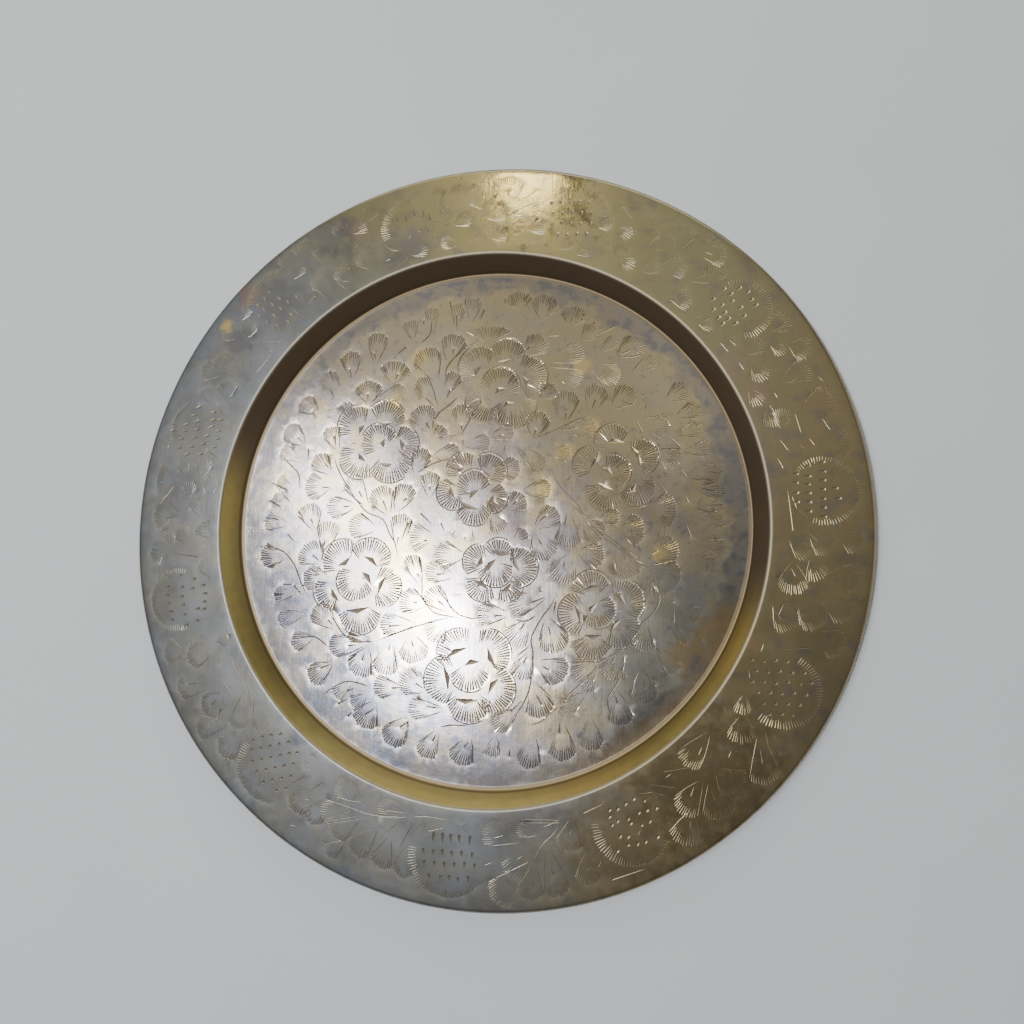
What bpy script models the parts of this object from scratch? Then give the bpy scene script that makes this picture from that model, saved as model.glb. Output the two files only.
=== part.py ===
"""Round brass plate: one spun sheet with a sunk well, and an edge rolled over a wire.

Metres, +Z up. The plate lies flat on its foot, with the origin at the middle of the
foot's underside and the turning axis along +Z.
"""

import math

import bpy

# Driving dimensions, in metres.
PLATE_RADIUS = 0.1525
SHEET_THICKNESS = 0.0010
FLOOR_CORNER_RADIUS = 0.1084
CREST_CORNER_RADIUS = 0.1130
CREST_TOP_HEIGHT = 0.0111
FLOOR_CORNER_BEND = 0.0015
CREST_BEND = 0.0012
BEAD_RADIUS = 0.0022
BEAD_CENTRE_HEIGHT = 0.0063
WIRE_GAP = 0.0003

# The rolled edge turns from the flange, over the wire and back in underneath. It stops
# short of the flange, which leaves an open slit on the inner side of the bead.
CURL_END_ANGLE = math.radians(-200)

# Fineness of the round shapes.
TURN_STEPS = 96
BEND_SEGMENTS = 4
CURL_SEGMENTS = 13
WIRE_SIDES = 8
MERGE_DISTANCE = 0.00001

BRASS = {"colour": (0.45, 0.36, 0.20, 1.0), "roughness": 0.38, "metallic": 1.0}
IRON = {"colour": (0.20, 0.19, 0.18, 1.0), "roughness": 0.55, "metallic": 1.0}


def clear_scene():
    for item in list(bpy.data.objects):
        bpy.data.objects.remove(item, do_unlink=True)


def new_collection(name):
    collection = bpy.data.collections.new(name)
    bpy.context.scene.collection.children.link(collection)
    return collection


def new_material(name, look):
    material = bpy.data.materials.new(name)
    material.use_nodes = True
    shader = material.node_tree.nodes["Principled BSDF"]
    shader.inputs["Base Color"].default_value = look["colour"]
    shader.inputs["Roughness"].default_value = look["roughness"]
    shader.inputs["Metallic"].default_value = look["metallic"]
    material.diffuse_color = look["colour"]
    return material


def polar(centre, radius, angle):
    return (centre[0] + radius * math.cos(angle), centre[1] + radius * math.sin(angle))


def rounded_corner(before, corner, after, radius, segments):
    """The points of an arc that rounds the corner between two straight stretches."""
    angle_in = math.atan2(corner[1] - before[1], corner[0] - before[0])
    angle_out = math.atan2(after[1] - corner[1], after[0] - corner[0])
    turn = angle_out - angle_in
    setback = radius * math.tan(abs(turn) / 2)
    start = polar(corner, -setback, angle_in)
    side = math.copysign(math.pi / 2, turn)
    centre = polar(start, radius, angle_in + side)
    angles = [angle_in + turn * i / segments for i in range(segments + 1)]
    return [polar(centre, radius, angle - side) for angle in angles]


def curl_start_angle(point, centre, radius):
    """Where a straight line from the point touches the top of the curl."""
    across = centre[0] - point[0]
    rise = centre[1] - point[1]
    line = math.atan2(rise, across) + math.asin(radius / math.hypot(across, rise))
    return line + math.pi / 2


def sheet_profile():
    """The middle of the sheet's thickness, from the axis out to the end of the curl."""
    half = SHEET_THICKNESS / 2
    axis = (0.0, half)
    floor_corner = (FLOOR_CORNER_RADIUS, half)
    crest_corner = (CREST_CORNER_RADIUS, CREST_TOP_HEIGHT - half)
    bead_centre = (PLATE_RADIUS - BEAD_RADIUS, BEAD_CENTRE_HEIGHT)
    curl_radius = BEAD_RADIUS - half
    first = curl_start_angle(crest_corner, bead_centre, curl_radius)
    step = (CURL_END_ANGLE - first) / CURL_SEGMENTS
    curl = [polar(bead_centre, curl_radius, first + step * i) for i in range(CURL_SEGMENTS + 1)]
    floor_bend = rounded_corner(
        axis, floor_corner, crest_corner, FLOOR_CORNER_BEND, BEND_SEGMENTS
    )
    crest_bend = rounded_corner(
        floor_corner, crest_corner, curl[0], CREST_BEND, BEND_SEGMENTS
    )
    return [axis] + floor_bend + crest_bend + curl


def make_plate(collection):
    points = [(radius, 0.0, height) for radius, height in sheet_profile()]
    edges = [(i, i + 1) for i in range(len(points) - 1)]
    mesh = bpy.data.meshes.new("plate")
    mesh.from_pydata(points, edges, [])
    plate = bpy.data.objects.new("plate", mesh)
    collection.objects.link(plate)

    turn = plate.modifiers.new("turn", "SCREW")
    turn.axis = "Z"
    turn.steps = TURN_STEPS
    turn.render_steps = TURN_STEPS
    turn.use_merge_vertices = True
    turn.merge_threshold = MERGE_DISTANCE
    turn.use_smooth_shade = True

    sheet = plate.modifiers.new("sheet", "SOLIDIFY")
    sheet.thickness = SHEET_THICKNESS
    sheet.offset = 0.0
    sheet.use_even_offset = True

    mesh.materials.append(new_material("plate_brass", BRASS))


def make_rim_wire(collection):
    """The iron wire that the edge is rolled over."""
    bpy.ops.mesh.primitive_torus_add(
        major_segments=TURN_STEPS,
        minor_segments=WIRE_SIDES,
        major_radius=PLATE_RADIUS - BEAD_RADIUS,
        minor_radius=BEAD_RADIUS - SHEET_THICKNESS - WIRE_GAP,
        location=(0.0, 0.0, BEAD_CENTRE_HEIGHT),
    )
    wire = bpy.context.object
    wire.name = "rim_wire"
    wire.data.shade_smooth()
    wire.data.materials.append(new_material("wire_iron", IRON))
    for other in list(wire.users_collection):
        other.objects.unlink(wire)
    collection.objects.link(wire)


def main():
    clear_scene()
    collection = new_collection("brass_plate")
    make_plate(collection)
    make_rim_wire(collection)


main()
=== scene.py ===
"""Looks of the engraved brass plate: chiselled roses and leaves, patina, camera and lights.

Plan positions and sizes are in millimetres, seen from above with +X to the right and
+Y up, and are turned into metres when the mesh is made.
"""

import math
import random

import bmesh
import bpy
from mathutils import Matrix, Vector, noise
from mathutils.geometry import delaunay_2d_cdt


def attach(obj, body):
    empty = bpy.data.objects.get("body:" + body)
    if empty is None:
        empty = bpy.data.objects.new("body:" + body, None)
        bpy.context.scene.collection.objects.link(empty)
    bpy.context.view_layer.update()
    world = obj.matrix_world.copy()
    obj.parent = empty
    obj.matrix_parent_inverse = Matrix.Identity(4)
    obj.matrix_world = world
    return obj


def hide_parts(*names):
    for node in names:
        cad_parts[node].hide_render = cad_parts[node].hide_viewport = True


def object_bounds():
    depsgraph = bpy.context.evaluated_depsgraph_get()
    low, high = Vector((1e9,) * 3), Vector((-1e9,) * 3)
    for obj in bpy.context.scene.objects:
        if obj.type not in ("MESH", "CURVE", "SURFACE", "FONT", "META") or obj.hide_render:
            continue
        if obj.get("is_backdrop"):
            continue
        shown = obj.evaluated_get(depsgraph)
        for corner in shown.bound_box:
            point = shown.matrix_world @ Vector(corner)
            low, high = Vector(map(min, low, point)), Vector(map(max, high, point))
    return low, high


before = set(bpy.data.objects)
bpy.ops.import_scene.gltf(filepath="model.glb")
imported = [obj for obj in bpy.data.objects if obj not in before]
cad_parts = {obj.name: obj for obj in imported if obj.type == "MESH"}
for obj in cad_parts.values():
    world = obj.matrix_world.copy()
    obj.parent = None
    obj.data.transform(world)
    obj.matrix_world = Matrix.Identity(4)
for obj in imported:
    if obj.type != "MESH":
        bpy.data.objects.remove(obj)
cad_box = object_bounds()

MM = 0.001

# The sheet's shape, as the CAD has it. Corners are (radius, height).
SHEET = 1.0
FLOOR_CORNER = (108.4, 0.5)
CREST_CORNER = (113.0, 10.6)
FLOOR_BEND = 1.5
CREST_BEND = 1.2
BEAD_CENTRE = (150.3, 6.3)
BEAD_MIDDLE_RADIUS = 1.7
CURL_END_SLOPE = math.radians(-290)

# Fineness of the mesh.
TURNS = 288
FLOOR_BEND_STEPS = 8
CREST_BEND_STEPS = 12
CURL_STEPS = 28
FILLER_SPACING = 3.6
FILLER_MARGIN = 0.8
MERGE = 0.0005
SHARP_ANGLE = math.radians(13)

# Hand work leaves the sheet uneven: waves of (height, size, place in the noise), which
# fade in from one radius to another.
FLOOR_WAVES = (((0.2, 34, 3.7), (0.07, 13, 8.1)), 104, 90)
FLANGE_WAVES = (((0.22, 46, 5.3),), 114, 126)

# How deep the chisel goes for its width, and how deep a cut has to be to hold full dirt.
DEPTH_FOR_HALF_WIDTH = 0.38
DEEPEST = 0.3
FULL_DIRT_DEPTH = 0.07
EDGE_MARGIN = 0.4
HASH_CELL = 3.0

# The floor has no inner edge that its cuts must keep clear of.
FLOOR_INNER = -EDGE_MARGIN

# How each kind of leaf is cut: its ticks' length, half width and pitch, and how far
# round its tip they go to either side, in degrees.
FLOOR_LEAF = (5.4, 0.29, 1.1, (60, 92))
BORDER_LEAF = (5.0, 0.2, 1.1, (35, 75))
FLOOR_GAP_LEAF = (4.0, 0.26, 1.1, (45, 85))
FLANGE_LEAF = (3.6, 0.2, 0.95, (50, 84))
FLANGE_GAP_LEAF = (4.0, 0.2, 1.1, (45, 85))
LEAF_SPREAD = 1.32
SIDE_LINE_CHANCE = 0.8
VEIN_WIDTH = 1.3

# Half widths of the other cuts.
PETAL_TICK = 0.36
PETAL_OUTLINE = 0.28
FLOOR_STROKE = 0.36
FLOOR_STEM = 0.3
PINEAPPLE_TICK = 0.25
PINEAPPLE_SEED = 0.62
FLANGE_STROKE = 0.23
FLANGE_STEM = 0.22

# Roses and pineapples. A wedge cut is (half width, bulge).
PETAL_SPREAD = 1.05
PETAL_OVERLAP = 7
PETAL_PITCH = 1.3
PETAL_TICK_LENGTH = 6.4
OUTLINE_STEPS = 6
OUTLINE_GAP = 0.35
BUD_TICK_LENGTH = 5.6
HEART_WEDGE = (1.15, 0.95)
PETAL_WEDGE = (1.1, 0.9)
PINEAPPLE_PITCH = 1.15

# The ring of slim leaves near the wall: the radii of their tips and bases, and their widths.
BORDER_LEAVES = 58
BORDER_TIPS = (94.5, 99)
BORDER_BASES = (84.5, 87)
BORDER_WIDTHS = (6.0, 7.5)
BORDER_LEAN = math.radians(1.5)
BORDER_CLEAR = 7.5

# The small leaves and ticks in the gaps: the rings they lie in, how many places are
# tried, the clear space that each needs and half its length.
FLOOR_GAP_RING = (0, 84)
FLANGE_GAP_RING = (118, 145)
FLANGE_LEAN = math.radians(-65)
GAP_LEAF = (1600, 2.0, 4.2)
GAP_TICK = (1200, 0.9, 1.4)
GAP_LEAF_WIDTH = 1.45

# Hand work is uneven; this seed fixes how.
SEED = 41

# Roses: the bud's arc, the heart's wedge cut, then each petal's arc and wedge cut together.
# Arcs are (x, y, radius, from degrees, to degrees), wedge cuts (x, y, x, y).
ROSES = [
    [(5.5, 58, 8, -10, 170), (3.5, 55, 7.5, 57), (8, 70, 8.5, 20, 150, 4, 69, 9.5, 70),
     (16, 62, 9, -70, 85, 15, 62, 16.5, 57.5), (11, 50, 9.5, 200, 360, 7, 49, 11.5, 50.5),
     (0, 52, 9, 165, 290, -3, 53.5, 0, 49.5), (-3.5, 66.5, 9, 60, 215, -5.5, 63, -3, 67)],
    [(-47, 35, 7.5, 30, 215), (-45, 32.5, -44.5, 36), (-44.5, 44, 8.5, 0, 130, -47, 43.5, -41.5, 43.5),
     (-57, 42, 8.5, 70, 200, -54, 42, -56, 38.5), (-55, 28, 9, 160, 290, -56, 30, -53, 26.5),
     (-42, 27, 9.5, 215, 350, -46, 25.5, -41, 25), (-37.5, 34, 7.5, -60, 80, -38, 35.5, -37, 31)],
    [(-5, 15, 7, 20, 200), (-6.5, 10, -3, 13.5), (-9, 22, 7.5, 75, 190, -12, 21, -9.5, 23),
     (1, 21.5, 7.5, -30, 120, -2, 21.5, 3, 18), (2.5, 10.5, 6.5, -90, 45, 1, 8, 3.5, 11.5),
     (-4.5, 6.5, 7.5, 200, 330, -11, 9, -3, 5.5), (-13.5, 12.5, 7, 130, 290, -15, 15, -13, 10.5)],
    [(53, 21, 7, -60, 100), (48.5, 22.5, 52.5, 19.5), (53, 33, 7.5, 45, 185, 50.5, 33, 57, 33),
     (44.5, 24, 7.5, 95, 215, 43.5, 22.5, 47, 29.5), (63.5, 27, 7.5, -60, 105, 61, 30.5, 64, 24),
     (50, 13, 7.5, 175, 300, 47, 16.5, 53, 13.5), (62.5, 14.5, 7.5, 215, 370, 59, 12.5, 62, 16)],
    [(-55, -25, 8, 150, 320), (-52.5, -21.5, -48.5, -26.5),
     (-61, -17, 9, 70, 200, -63, -18.5, -58, -14.8), (-49.5, -16.5, 9, 0, 140, -51.5, -15, -46, -19),
     (-43.5, -27.5, 8, -95, 85, -42, -23.5, -45, -30.5), (-53, -38, 9, 200, 345, -58, -37.5, -49, -36),
     (-64.5, -29, 8.5, 165, 260, -65.5, -28.5, -62.3, -33.5)],
    [(5, -19.5, 7, 200, 360), (2, -20, 5, -15.5), (-1.5, -16.5, 7, 90, 215, -3, -18, -1, -14),
     (6, -13, 6, 30, 150, 3, -11.5, 11, -13), (14, -18.5, 8, -75, 100, 12.5, -13.5, 14.5, -20),
     (9.5, -26, 6.5, -110, 0, 7.5, -28.5, 11.5, -25), (0, -25.5, 7, 175, 300, -4, -24.5, 2, -28)],
    [(47, -35.5, 7, -130, 40), (44, -37.5, 46.5, -33), (44.5, -27.5, 7.5, 30, 175, 41, -27.8, 50, -26.5),
     (57, -32, 8.5, -40, 110, 53, -28, 58, -33.5), (55.5, -42.5, 8, -120, 15, 53, -43, 56, -39.5),
     (45, -48, 7.5, 190, 335, 42, -45.5, 48.5, -45.5), (39.5, -37, 8, 110, 260, 37.8, -34.5, 40, -41)],
    [(-5, -61, 8, 200, 340), (-7, -59, -1, -57.5), (-14, -65, 9.5, 100, 260, -16, -60, -14, -69),
     (-9, -54, 9.5, 80, 190, -14.5, -56, -6.5, -52), (2, -54, 9.5, -40, 100, 2.5, -52, 6, -59.5),
     (4, -68, 9.5, -100, 50, 7, -64, 3, -70), (-5, -72, 9.5, 200, 340, -10.5, -72.5, -2, -72.5)],
]

# Leaves are (base x, y, tip x, y, width), then the ends of the vein cuts, if any.
FLOOR_LEAVES = [
    # Upper left.
    (-42, 60, -40, 71, 11, -41, 62, -39.5, 65), (-50, 53, -36, 58, 6),
    (-52.5, 51, -53, 62.5, 10, -53, 53, -53, 56.5), (-62, 46, -63, 53, 6),
    (-24, 38, -31, 50, 10, -27, 43.5, -25, 40), (-23, 36, -18, 41, 7),
    (-12, 36, -10.5, 51, 8, -11, 39, -11, 42), (-12, 33, 2, 34, 6), (-24, 28, -11, 30, 7),
    (-31, 19, -27, 32, 7), (-24, 9, -24, 22, 8, -24, 13, -24, 15.5),
    (-41, 2, -47, 15.5, 9, -44.5, 9.5, -42, 3.5), (-39, 3, -33, 16.5, 8, -36, 8, -34, 10.5),
    (-50, 5, -60, 20, 8, -55.5, 13.5, -53, 9.5), (-67, 15.5, -80, 15.5, 10, -72, 15, -68, 15),
    (-55, 7, -69.5, 6, 8, -62, 6.5, -58.5, 7), (-74, -5, -79, 8, 9, -76.5, 1.5, -75, -1.5),
    (-68, 20, -76, 29, 8, -71.5, 26, -69, 23), (-65, 30, -70, 42, 7, -67.5, 38, -66.5, 33),
    (-18, 68, -14, 82, 10, -15.5, 72, -15.5, 76), (-21, 48, -30, 63, 6),
    (-19, 54, -13.5, 65, 6, -18, 53, -16, 57.5), (-22, 60, -29, 76, 10), (0, 77, 0, 85, 16),
    (-50, 68, -49, 84, 8, -51, 75, -50, 71), (-60, 62, -62, 76, 8, -62, 68, -60.5, 63),
    (-66, 57, -74, 66, 8, -70, 58, -68, 54), (-75, 47, -84, 54, 8, -78.5, 49, -75.5, 44.5),
    (-80, 33, -90, 42, 8, -84.5, 37.5, -81, 34),
    # Upper right.
    (15, 71, 24, 79, 9, 16, 73, 18, 75.5), (25, 68, 41, 73, 7), (25, 66, 40, 59, 8), (42, 66, 56, 60, 8),
    (23, 52, 28, 59, 7), (33, 41, 33.5, 56, 9, 33, 42.5, 33.5, 46.5), (43, 44, 47, 58, 9, 44, 47, 46, 52),
    (52, 47, 61, 56, 8), (19.5, 35, 23, 47, 9, 20, 36, 21, 39.5), (1, 36.5, 12, 39, 6, 4, 36, 7, 37),
    (30, 38, 46.5, 40, 7, 31, 38.5, 38, 39.5), (25, 29, 36, 29, 6), (11, 34, 25, 22, 6, 13, 32, 17, 28),
    (5, 22, 15, 23, 8), (15, 13, 28, 14, 7), (9, 5, 17, 11, 8, 11, 7, 13.5, 9),
    (20, -3, 31, 5, 9, 22, 0, 26, 3), (56, -3, 66, -3, 10), (66, 5, 79, 5, 12), (62, 42, 76, 38, 8),
    (70, 30, 80, 24, 8), (47, 1, 56, 3, 6), (74, 50, 83, 56, 8), (78, 43, 88, 47, 6),
    (54, 69, 65, 76, 9, 55, 70, 60, 72), (35, 83, 38, 92, 9, 39, 85, 40.5, 88.5),
    (13, 90, 13, 100, 9, 15, 95, 15.5, 98), (22, 86, 25, 98, 9, 25, 90, 27, 95),
    # Lower left.
    (-69.5, -14, -68, 0.5, 9, -69.5, -8, -70, -11), (-70, -18, -80, -11, 11, -75, -14, -71.5, -17),
    (-46, -3, -59.5, -1, 9),
    (-36.5, -16, -36, 4, 8, -37, -6, -37.5, -10, -40, -1, -39.5, -5.5, -33, 0, -36, -9),
    (-21, -6, -32, -7, 10, -26, -8, -24, -7.5), (-7, -14, -21, -14, 10),
    (-11, -23, -25, -20, 8, -20, -22, -16, -21.5), (-26, -28, -32, -13.5, 6, -28.5, -21.5, -27, -23.5),
    (-13, -38, -24, -28, 8, -19, -33, -16, -35), (-24, -35, -36, -32, 9, -30, -33.5, -27.5, -34),
    (-26, -43, -44, -43, 8, -40, -43.8, -33, -43), (-16, -42, -23, -48.5, 9),
    (-30, -46, -28, -59, 10, -30, -49, -29, -52), (-38, -49.5, -42, -64, 9, -39, -51, -39.5, -54),
    (-48, -52, -53, -65, 10, -50, -55, -51, -58.5), (-48, -51, -66, -52.5, 8, -57.5, -52.3, -53.5, -51.8),
    (-45, -50, -58, -48, 4), (-62, -46, -73, -36, 9, -67, -41.5, -64, -44),
    (-32, -69, -46, -68, 8, -38, -69, -33, -68.8), (-22, -70, -34, -64, 9, -27.5, -66.8, -24, -69),
    (-14, -77, -30.5, -77, 7, -22.5, -76, -16.5, -76.5), (-66, -25, -79, -24, 9, -74, -23, -71, -22.5),
    (-63, -59, -74, -67, 8, -69.5, -62, -64, -60), (-44, -74, -51, -85.5, 10, -49, -80.5, -44, -77),
    (-30, -80, -39, -92, 9, -34, -85, -30, -82), (-17, -84, -24, -96.5, 8, -20, -90, -18, -86.5),
    (-4, -86, -9, -99, 9, -7, -92, -4.5, -89), (-86, -15, -99, -14, 9), (-72, -49, -83, -52, 7),
    # Lower right.
    (35, 5, 35, -11, 9, 34, 4, 33.5, -1), (39, 2, 49, -7, 8), (38, -12, 49.5, -15, 10, 45, -9, 49, -10),
    (37, -12, 31, -25, 10, 33.5, -15.5, 33, -18.5), (20, -4, 28, -15, 10, 22, -6, 24, -9.5),
    (53, -9, 62, -22, 9, 57, -12, 58.5, -15.5), (66, -14, 79, -9, 10, 68, -13, 71, -11.5),
    (67, -17.5, 78.5, -26, 12, 70, -21, 72.5, -24), (66, -40, 65, -52, 8),
    (57, -51, 51, -63, 9, 54, -53.5, 52.5, -56.5), (47, -56, 38, -63, 10), (46, -62, 42, -68, 5),
    (43, -68, 33, -75, 6), (54, -66, 57, -81, 8, 54, -69, 55, -72.5),
    (64, -57, 66, -72, 8, 65, -62, 66, -66, 67, -61, 70, -65), (20, -52, 15, -64, 8, 19, -54, 17, -57.5),
    (20, -39, 12, -49.5, 9, 18, -40.5, 15.5, -44), (26, -38, 31, -53, 10, 27, -42, 28, -46),
    (22, -56, 35, -62, 10, 24, -58, 28, -60), (21, -64, 25, -79, 10, 22, -69, 25, -74),
    (16, -75, 5, -84, 7, 12, -77, 17, -72), (12, -38, -2.5, -38.5, 8, 5, -38.5, 9, -38.5),
    (28, -29.5, 11, -35, 8, 20, -33, 26, -30.5), (22, -84, 19, -99, 8, 24, -93, 23.5, -89),
    (33, -79, 33, -95.5, 9, 32, -80, 32, -85), (44, -77, 45, -91, 8),
]

# Single strokes of the chisel, deep end first.
FLOOR_STROKES = [
    (-79, 32.5, -79, 27), (-88, 14, -97, 18), (-91, 7, -98, 10), (-91, 1, -98, 2), (-17.5, 97, -17, 93),
    (-14.5, 91, -14, 83), (-10.5, 98, -11, 94), (-29, 89, -29, 86), (-5, 98, -5, 93), (-2, 93, -4, 87),
    (-36, 77, -41, 73), (76, 40.5, 71, 45), (89, 40.5, 85, 39), (80, 31, 75, 36), (82.5, 18.5, 80, 22),
    (89, 17, 84, 18), (97, 20.5, 90, 20), (94, 12.5, 88, 14), (83, 8, 82, 11), (97, 7, 90, 7),
    (92, 4, 86, 6), (97, -1.5, 94, -1), (84, -6, 82, 0), (95, -7, 90, -6), (54, 83, 46, 79),
    (36, 87, 34, 84), (45.5, 85.5, 44, 83), (30, 79.5, 25, 79.5), (6.5, 97, 7, 94), (65, 37, 62, 43),
    (74, 13, 70, 17), (-61, -76.5, -56.5, -74), (-57, -71, -53.5, -69.5), (-56.5, -81.5, -54, -79),
    (-88, -27, -83, -27), (-92, -31.5, -86, -31), (-83, -27, -78, -32), (-87, -5, -83, -9),
    (-28, 4, -22, -1.5), (-19, 0, -17, -4), (30, -32, 29, -38), (70, -49.5, 72.5, -53),
    (7, -92, 8, -88.5), (12, -95, 12, -91), (80, -43, 77, -40), (77, -40, 77, -34), (88, -47, 85, -42),
    (68, -29, 68, -23),
]

FLOOR_STEMS = [
    [(-67.5, 30), (-66, 25), (-63.5, 20), (-59, 13), (-55, 8), (-51, 4), (-44, 1), (-41, -5), (-38, -10),
     (-36.5, -19)], [(-19, 62), (-18, 67), (-15, 71), (-11, 75), (-6, 77), (0, 79.5)],
    [(-24, 42), (-21, 47), (-17, 50), (-12.5, 54)], [(-30, 21), (-25, 24), (-20, 26), (-14, 27.5)],
    [(-91.5, 29.5), (-87, 25), (-83, 21), (-82, 14)], [(-25.5, 88), (-26, 82), (-30, 78)],
    [(19.5, 35), (25, 37), (30, 39), (36, 42), (42, 44.5)],
    [(28, 21.5), (30, 17), (34, 12), (39, 7), (43, 0), (50, -5), (57, -10), (62, -14), (67, -17)],
    [(35, 8), (40, 4), (45, -3), (52, -8), (58, -12.5), (63, -16), (68, -18.5)],
    [(-27, -22), (-26, -27), (-26, -31), (-23.5, -35), (-20, -38), (-15, -39), (-8, -40)],
    [(-20, -28), (-16, -32), (-12, -37), (-7, -39.5), (0, -40)],
    [(-45, -50), (-40, -48), (-35, -46), (-30, -44), (-26, -43), (-20, -41), (-12, -39.5)],
    [(-66, -39), (-63, -43), (-60, -47), (-56, -49.5), (-50, -50.5), (-45, -50)],
    [(-67.5, -73), (-62, -69), (-57, -67), (-52, -67.5), (-47, -69)], [(-17, -84), (-12, -83), (-5, -83)],
    [(-100, -11), (-94, -11), (-88, -13), (-84, -17), (-82, -20), (-79, -27), (-75, -33)],
    [(-79, -49.5), (-72, -49), (-66, -53)], [(70, -25), (71.5, -31), (69, -36), (65, -40), (63, -43)],
    [(48, -55), (45, -60), (41, -64), (36, -69), (33, -74), (31, -78)],
    [(58, -55), (56, -62), (53, -67), (51, -71), (52, -77)],
    [(30, -30), (28, -34), (25, -38), (22, -43), (20, -48), (21, -54), (20, -66), (18, -72), (15, -77),
     (12, -79)], [(20, -82), (25, -80), (28, -77), (32, -74)], [(13, -40), (18, -40.5), (22, -38)],
    [(20, -50), (14, -55)],
]

# Pineapples on the flange: the comb round each one, as (x, y, radius, from, to, tick length).
PINEAPPLE_COMBS = [
    (-10, -131, 16.5, 170, 320, 3.5), (60, -116, 15, 180, 340, 3.8), (116, -64, 14.5, -130, 60, 3.3),
    (133, 11.5, 13.5, -110, 140, 2.5), (103, 84.5, 13, -80, 110, 3), (36, 127, 15, 0, 70, 3.5),
    (-33, 127, 14, 100, 205, 4), (-92, 95, 15.5, 95, 178, 3.5), (-126, 40, 13.5, 120, 200, 3),
    (-130, -34, 13.5, 80, 290, 3), (-85, -101, 15, 140, 275, 3.5),
]

# Their seeds: the direction of the short cuts in degrees, their length, and their places.
PINEAPPLE_SEEDS = [
    (90, 3.6, [(-16, -124.5), (-12.3, -124.5), (-9, -124.3), (-5.7, -124.5), (-1.5, -125)]),
    (90, 2.4, [(-20, -130), (-16, -130.2), (-12.3, -130), (-8.5, -130.3), (-4.7, -130), (-0.5, -130.5),
     (-19.5, -134.5), (-15.5, -134.5), (-11.5, -134.7), (-7.5, -134.5), (-3.5, -134.2), (0.5, -134.5),
     (-17.5, -139.5), (-13, -139.7), (-9.5, -139.5), (-6, -140), (-2, -139.5)]),
    (70, 1.5, [(52, -110.5), (55, -110), (58, -108), (61, -106), (65, -106.5), (52, -113), (55, -114.5),
     (59, -113.5), (63, -111), (66, -110), (69.5, -109), (60, -115), (64, -115.5), (67, -114),
     (70, -119.5), (53, -116), (56, -120), (59, -120), (59, -123), (62.5, -122.5), (65.5, -121.5),
     (55, -125.5)]),
    (20, 1.6, [(105, -53), (109.3, -53.5), (113.6, -53), (117.9, -53.5), (122, -53), (106.5, -57),
     (110.8, -57.5), (115, -57), (119.5, -57.5), (124, -57.5), (105, -61), (109.3, -61), (113.6, -61.5),
     (118, -61), (122.5, -61.5), (126.5, -61), (107, -65), (111.4, -65), (115.6, -65.3), (120, -65),
     (124.5, -65.5), (109, -69), (113.4, -69), (117.8, -69), (122, -69.3), (111, -73), (115.5, -72.8),
     (119.5, -73)]),
    (0, 2.7, [(122.5, 18), (122.5, 14.5), (122.5, 10.5), (122.5, 7), (127, 21), (127, 17), (127, 14),
     (127, 10.5), (127, 7), (127, 3.5), (132.5, 22.5), (132.5, 19), (132.5, 15.5), (132.5, 12),
     (132.5, 8.5), (132.5, 5), (132.5, 1.5), (137, 12.5), (138, 8.5)]),
    (35, 2.6, [(97, 93.2), (99.5, 91), (103, 93.5), (106.2, 91.7), (107.5, 88.5), (103.2, 85.2),
     (109, 86), (92.5, 89), (92.5, 84.5), (94.5, 81), (96, 78.5), (96, 86.5), (97, 83), (98.5, 80.5),
     (100, 88), (101, 78.5), (104.5, 81.5)]),
    (80, 2.2, [(27, 134), (31, 134.3), (35, 134), (39, 134), (43, 133.5), (28, 129.5), (32, 129),
     (36, 129.4), (40, 129), (44, 128.7), (27.5, 124.5), (31.5, 124.8), (35.5, 124.5), (39.5, 124),
     (43.5, 124), (30, 119.5), (34, 119), (38, 119.3), (42, 119)]),
    (-75, 4, [(-40.5, 131), (-36.5, 131.5), (-32.8, 133.5), (-28.5, 133), (-25.7, 131.3),
     (-26.5, 125.5)]),
    (20, 1.5, [(-22, 129), (-20, 133), (-18, 134.5), (-18, 127), (-23, 122), (-30, 124), (-34, 122)]),
    (-35, 2.5, [(-102, 95), (-99, 93), (-101, 90), (-97, 101), (-99, 98), (-95, 95), (-94, 90), (-97, 87),
     (-92, 85), (-91, 93), (-92, 97.5), (-88, 96), (-84, 98), (-86, 90), (-87, 86.5)]),
    (10, 3, [(-127, 49.5), (-129, 46), (-127.5, 43), (-127, 39.5), (-128, 36), (-129, 32), (-131, 28.5),
     (-119.5, 47), (-119.5, 43.5), (-120, 40.5), (-122, 36.5), (-123.5, 33), (-124.5, 28.5), (-116, 43.5),
     (-116.5, 38.5), (-117, 35), (-118, 31.5), (-132.5, 42), (-133, 39), (-134.5, 35.5), (-135, 31.5),
     (-139, 39.5)]),
    (10, 2.2, [(-137, -24), (-136, -29), (-136, -32.5), (-135, -36), (-134, -39.5), (-133, -43),
     (-130, -24), (-129, -29), (-129, -33), (-128, -36.5), (-127, -40.5), (-126, -45), (-123.5, -25.5),
     (-124, -29.5), (-121, -38), (-121, -43), (-119, -28), (-118, -31.5), (-118, -35), (-118, -38)]),
    (30, 1.8, [(-93, -91), (-89, -89.5), (-85, -88.5), (-81, -88), (-93.5, -95), (-89.5, -94),
     (-85.5, -93), (-81.5, -92), (-77.5, -91), (-93, -99.5), (-89, -98.5), (-85, -97.5), (-81, -96.5),
     (-77, -95.5), (-73.5, -95), (-91, -103.5), (-87, -102.5), (-83, -101.5), (-79, -100.5), (-75, -99.5),
     (-88, -107.5), (-84, -106.5), (-80, -105.5), (-76, -104.5), (-82, -110.5), (-78, -109.5)]),
]

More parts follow.
